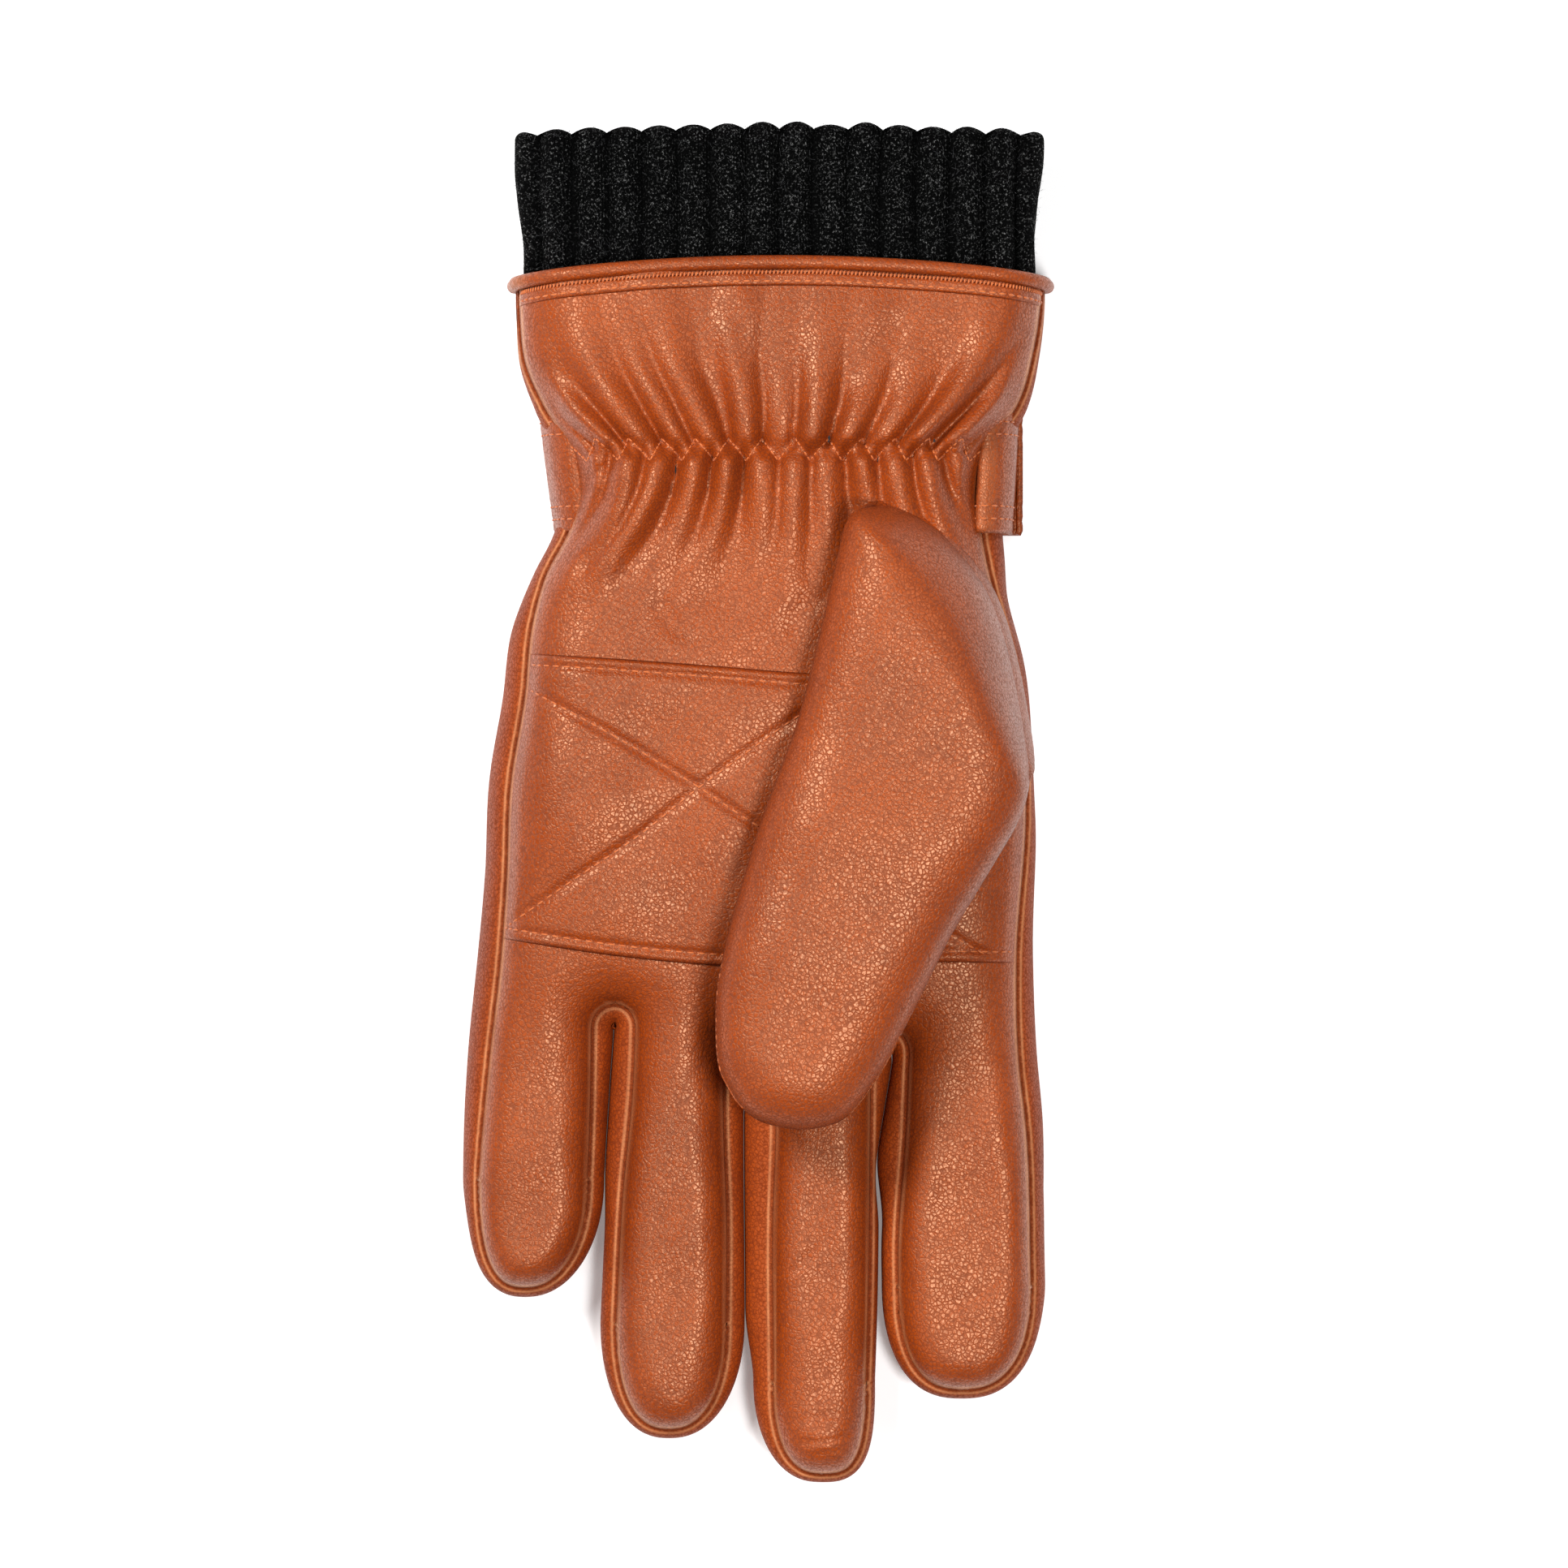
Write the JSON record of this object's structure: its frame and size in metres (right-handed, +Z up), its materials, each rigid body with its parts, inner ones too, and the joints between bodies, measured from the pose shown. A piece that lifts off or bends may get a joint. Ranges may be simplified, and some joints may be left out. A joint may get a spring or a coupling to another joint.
{
  "type": "leather touchscreen glove",
  "caption": "Left-hand leather glove lying palm up, thumb folded over the palm, with an elastic wrist, back strap and ribbed knit cuff.",
  "frame": {"origin": "middle of the glove's outline, on the surface that it lies on", "axes": "+Z up out of the palm, +Y from the fingertips to the cuff, +X towards the thumb's side"},
  "size_m": [0.1194, 0.28, 0.0488],
  "materials": {
    "leather": "soft pebbled tan sheepskin, low sheen; touch-conductive all over",
    "thread": "orange polyester sewing thread",
    "knit": "charcoal rib knit, wool mix, slightly fuzzy",
    "lining": "brushed knitted lining",
    "foam": "thin padding foam",
    "elastic": "woven elastic",
    "cord": "cotton piping cord",
    "snap_metal": "antique brass snap"
  },
  "bodies": {
    "hand": {"palm_panel": "leather", "back_panel": "leather", "fourchette_little_ring": "leather", "fourchette_ring_middle": "leather", "fourchette_middle_index": "leather", "hand_lining": "lining", "palm_patch": "leather", "patch_foam": "foam", "wrist_elastic": "elastic", "cuff_band": "leather", "cuff_piping": "leather", "piping_cord": "cord", "knit_cuff": "knit", "strap_side": "leather", "strap_tab": "leather", "snap_stud": "snap_metal", "snap_rivet": "snap_metal", "thumb_gusset": "leather", "little_knuckle_sleeve": "leather", "ring_knuckle_sleeve": "leather", "middle_knuckle_sleeve": "leather", "index_knuckle_sleeve": "leather"},
    "little_finger": {"little_tip_front": "leather", "little_tip_back": "leather", "little_tip_lining": "lining", "little_tip_fourchette_right": "leather"},
    "ring_finger": {"ring_tip_front": "leather", "ring_tip_back": "leather", "ring_tip_lining": "lining", "ring_tip_fourchette_left": "leather", "ring_tip_fourchette_right": "leather"},
    "middle_finger": {"middle_tip_front": "leather", "middle_tip_back": "leather", "middle_tip_lining": "lining", "middle_tip_fourchette_left": "leather", "middle_tip_fourchette_right": "leather"},
    "index_finger": {"index_tip_front": "leather", "index_tip_back": "leather", "index_tip_lining": "lining", "index_tip_fourchette_left": "leather"},
    "thumb": {"thumb_front": "leather", "thumb_back": "leather", "thumb_lining": "lining"},
    "strap_flap": {"strap": "leather", "snap_cap": "snap_metal", "snap_socket": "snap_metal"}
  },
  "joints": [
    {"name": "little_curl", "type": "hinge", "parent": "hand", "child": "little_finger", "pos_m": [-0.0457, -0.069, 0.0105], "axis": [-1, 0, 0], "range_deg": [0, 75], "deforming": ["little_knuckle_sleeve"]},
    {"name": "ring_curl", "type": "hinge", "parent": "hand", "child": "ring_finger", "pos_m": [-0.0169, -0.084, 0.0105], "axis": [-1, 0, 0], "range_deg": [0, 75], "deforming": ["ring_knuckle_sleeve"]},
    {"name": "middle_curl", "type": "hinge", "parent": "hand", "child": "middle_finger", "pos_m": [0.0126, -0.089, 0.0105], "axis": [-1, 0, 0], "range_deg": [0, 75], "deforming": ["middle_knuckle_sleeve"]},
    {"name": "index_curl", "type": "hinge", "parent": "hand", "child": "index_finger", "pos_m": [0.0429, -0.082, 0.0105], "axis": [-1, 0, 0], "range_deg": [0, 75], "deforming": ["index_knuckle_sleeve"]},
    {"name": "thumb_unfold", "type": "hinge", "parent": "hand", "child": "thumb", "pos_m": [0.0385, 0.032, 0.0393], "axis": [-0.5378, 0.8431, 0], "range_deg": [0, 105], "deforming": ["thumb_gusset"]},
    {"name": "strap_open", "type": "hinge", "parent": "hand", "child": "strap_flap", "pos_m": [0.055, 0.069, 0.0029], "axis": [0, -1, 0], "range_deg": [0, 180]}
  ]
}
